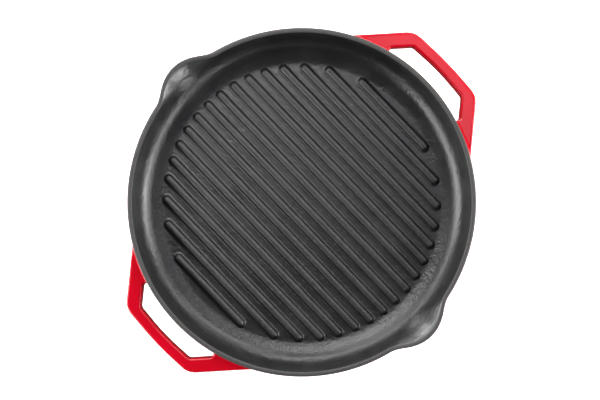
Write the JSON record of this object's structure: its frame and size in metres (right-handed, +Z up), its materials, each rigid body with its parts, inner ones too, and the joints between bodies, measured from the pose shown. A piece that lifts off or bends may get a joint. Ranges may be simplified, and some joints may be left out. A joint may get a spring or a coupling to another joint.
{
  "type": "cast iron grill pan",
  "caption": "Round cast iron grill pan with parallel ribs on its floor, pouring lips in the rim and red enamelled loop handles, for searing food on a hob or in an oven.",
  "frame": {"origin": "middle of the flat foot that the pan rests on", "axes": "+Z up out of the bowl, +X along the line through both handles, +Y along the ribs and through both pouring lips"},
  "size_m": [0.3498, 0.3194, 0.034],
  "materials": {
    "black_iron": "matte black coat, fine cast grain",
    "red_enamel": "gloss red fired enamel"
  },
  "bodies": {
    "root": {"pan_body": "black_iron", "exterior_enamel": "red_enamel", "handle_right": "red_enamel", "handle_left": "red_enamel", "grill_rib_01": "black_iron", "grill_rib_02": "black_iron", "grill_rib_03": "black_iron", "grill_rib_04": "black_iron", "grill_rib_05": "black_iron", "grill_rib_06": "black_iron", "grill_rib_07": "black_iron", "grill_rib_08": "black_iron", "grill_rib_09": "black_iron", "grill_rib_10": "black_iron", "grill_rib_11": "black_iron", "grill_rib_12": "black_iron", "grill_rib_13": "black_iron", "grill_rib_14": "black_iron", "grill_rib_15": "black_iron", "grill_rib_16": "black_iron", "grill_rib_17": "black_iron"}
  },
  "joints": []
}
